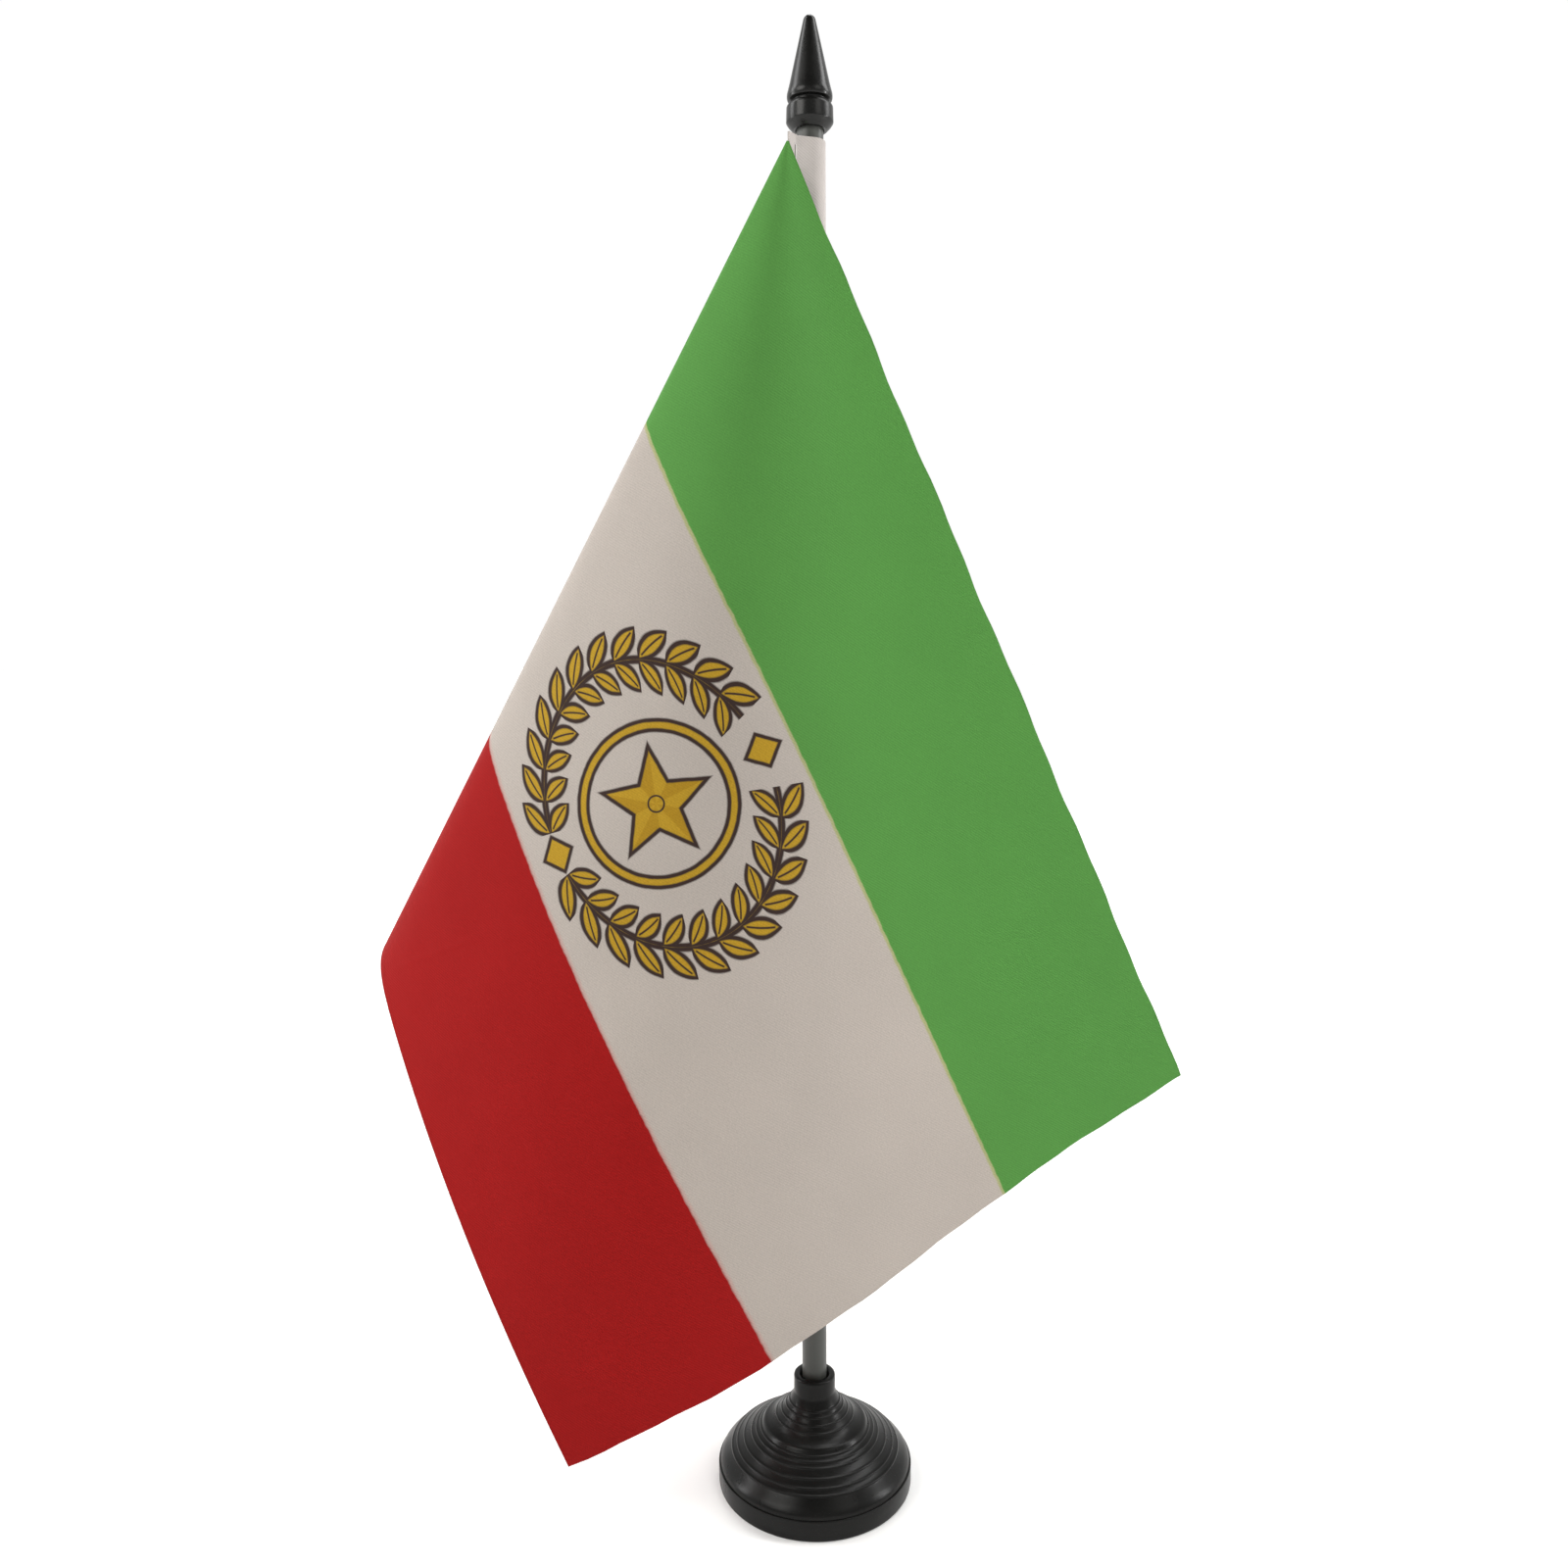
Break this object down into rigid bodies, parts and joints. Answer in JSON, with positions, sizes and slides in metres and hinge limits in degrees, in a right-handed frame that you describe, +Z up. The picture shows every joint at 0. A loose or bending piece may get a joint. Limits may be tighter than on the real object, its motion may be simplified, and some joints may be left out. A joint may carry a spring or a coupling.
{
  "type": "desk flag stand",
  "caption": "Small table flag hung from a slim upright pole with a spear finial, standing on a round stepped weighted base.",
  "frame": {"origin": "middle of the base's underside, on the pole's axis, at table level", "axes": "+Z up along the pole, +X to the viewer's right, -Y towards the viewer in front of the flag's printed side"},
  "size_m": [0.1658, 0.0399, 0.28],
  "materials": {
    "base_plastic": "satin moulded black plastic",
    "finial_plastic": "glossy moulded black plastic",
    "pole_plastic": "matt charcoal extruded plastic",
    "ballast_steel": "plain stamped steel",
    "flag_cloth": "printed polyester in green, white and red stripes with a gold device",
    "sleeve_cloth": "unprinted white polyester",
    "thread": "white sewing thread"
  },
  "bodies": {
    "base": {"base_foot": "base_plastic", "base_dome": "base_plastic", "ballast_disc": "ballast_steel"},
    "stick": {"pole": "pole_plastic"},
    "spear": {"finial": "finial_plastic"},
    "flag": {"flag_cloth": "flag_cloth", "flag_sleeve": "sleeve_cloth", "needle_thread": "thread", "bobbin_thread": "thread"}
  },
  "joints": [
    {"name": "pole_lift", "type": "slide", "parent": "base", "child": "stick", "axis": [0, 0, 1], "range_m": [0, 0.014]},
    {"name": "finial_lift", "type": "slide", "parent": "stick", "child": "spear", "axis": [0, 0, 1], "range_m": [0, 0.008]},
    {"name": "flag_swivel", "type": "hinge", "parent": "stick", "child": "flag", "pos_m": [0, 0, 0.2584], "axis": [0, 0, 1], "continuous": true}
  ]
}
